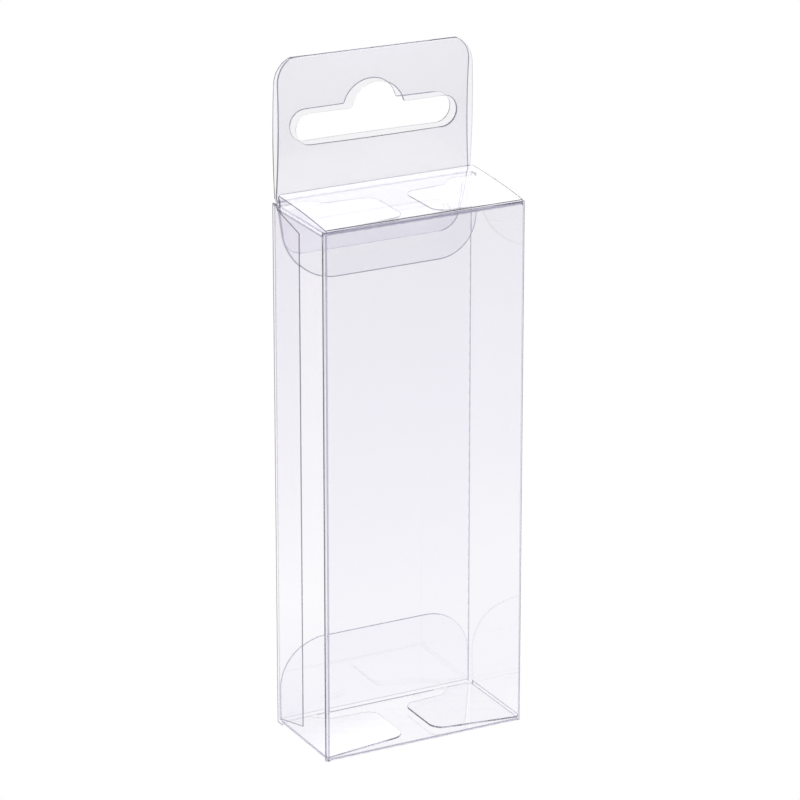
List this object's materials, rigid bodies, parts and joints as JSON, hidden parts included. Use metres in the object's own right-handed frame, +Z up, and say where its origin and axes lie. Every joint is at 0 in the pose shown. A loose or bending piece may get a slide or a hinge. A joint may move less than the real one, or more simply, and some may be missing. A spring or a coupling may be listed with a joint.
{
  "type": "clear retail box",
  "caption": "Tall clear film box with tuck-end lids at top and bottom and a folded hang tab with a euro slot.",
  "frame": {"origin": "centre of the base, on the outer face of the bottom lid", "axes": "+Z up towards the hang tab, +Y to the back wall that carries the hang tab, +X to the right seen from the front"},
  "size_m": [0.04, 0.021, 0.126],
  "materials": {
    "clear_film": "clear glossy film"
  },
  "bodies": {
    "carton": {"carton": "clear_film"},
    "top_lid": {"top_lid": "clear_film"},
    "top_tuck_flap": {"top_tuck_flap": "clear_film"},
    "bottom_lid": {"bottom_lid": "clear_film"},
    "bottom_tuck_flap": {"bottom_tuck_flap": "clear_film"}
  },
  "joints": [
    {"name": "top_lid_hinge", "type": "hinge", "parent": "carton", "child": "top_lid", "pos_m": [0, -0.00985, 0.10015], "axis": [1, 0, 0], "range_deg": [0, 180]},
    {"name": "top_tuck_crease", "type": "hinge", "parent": "top_lid", "child": "top_tuck_flap", "pos_m": [0, 0.00897, 0.10126], "axis": [1, 0, 0], "range_deg": [-22, 0]},
    {"name": "bottom_lid_hinge", "type": "hinge", "parent": "carton", "child": "bottom_lid", "pos_m": [0, -0.00985, 0.00015], "axis": [-1, 0, 0], "range_deg": [0, 150]},
    {"name": "bottom_tuck_crease", "type": "hinge", "parent": "bottom_lid", "child": "bottom_tuck_flap", "pos_m": [0, 0.009, 0.00035], "axis": [-1, 0, 0], "range_deg": [-78, 0]}
  ],
  "couplings": [
    {"joint": "top_tuck_crease", "follows": "top_lid_hinge", "ratio": -0.12},
    {"joint": "bottom_tuck_crease", "follows": "bottom_lid_hinge", "ratio": -0.52}
  ]
}
